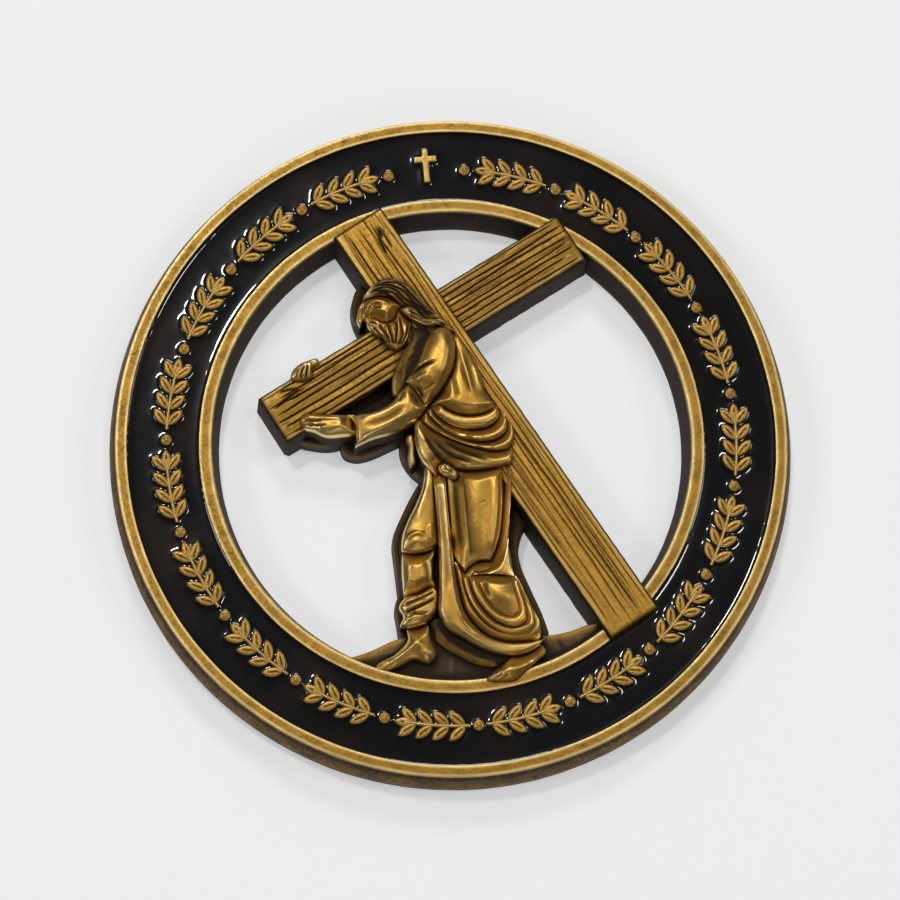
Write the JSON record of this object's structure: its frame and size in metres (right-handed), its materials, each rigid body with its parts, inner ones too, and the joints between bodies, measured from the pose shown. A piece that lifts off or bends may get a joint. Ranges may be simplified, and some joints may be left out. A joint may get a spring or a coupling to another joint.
{
  "type": "challenge coin",
  "caption": "Round cut-out challenge coin in antique gold: black enamel border ring round a raised robed figure carrying a timber cross.",
  "frame": {"origin": "on the ring's axis at the back face, which is the lowest point and the centre of the box", "axes": "+Z out of the front face along the ring's axis, +Y to the top of the design, +X to the viewer's right"},
  "size_m": [0.0444, 0.0444, 0.0047],
  "materials": {
    "rim_gold": "antique gold, flat polished tops with worn pale edges",
    "field_gold": "antique gold, fine cast texture, dull",
    "black_enamel": "glossy black soft enamel",
    "relief_gold": "antique gold, flat tops",
    "wood_gold": "antique gold with carved wood grain, dark in the grooves",
    "figure_gold": "antique gold, burnished on the high folds, dark in the recesses",
    "dark_patina": "dark brown patina"
  },
  "bodies": {
    "root": {"ankle_wrap": "figure_gold", "back_hem": "figure_gold", "beard": "figure_gold", "border_beads": "relief_gold", "border_cross": "relief_gold", "border_sprays": "relief_gold", "calf_fold_inner": "figure_gold", "calf_fold_middle": "figure_gold", "calf_fold_outer": "figure_gold", "calf_panel": "figure_gold", "cross_arm_left": "wood_gold", "cross_arm_right": "wood_gold", "cross_upright": "wood_gold", "enamel_band": "black_enamel", "far_foot": "figure_gold", "far_hand": "figure_gold", "far_shin": "figure_gold", "far_thigh": "figure_gold", "figure_web": "dark_patina", "front_drape": "figure_gold", "ground_mound": "dark_patina", "hair_crown": "figure_gold", "hair_far": "figure_gold", "hair_lock": "figure_gold", "head": "figure_gold", "hip_wrap": "figure_gold", "inner_rim": "rim_gold", "knee_gather": "figure_gold", "near_foot": "figure_gold", "near_hand": "figure_gold", "outer_rim": "rim_gold", "ring_web": "field_gold", "robe_front": "figure_gold", "sash_tail": "figure_gold", "skirt_back": "figure_gold", "skirt_front": "figure_gold", "skirt_thigh": "figure_gold", "sleeve_forearm": "figure_gold", "sleeve_upper": "figure_gold", "torso": "figure_gold", "waist_fold_low": "figure_gold", "waist_fold_middle": "figure_gold", "waist_fold_top": "figure_gold"}
  },
  "joints": []
}
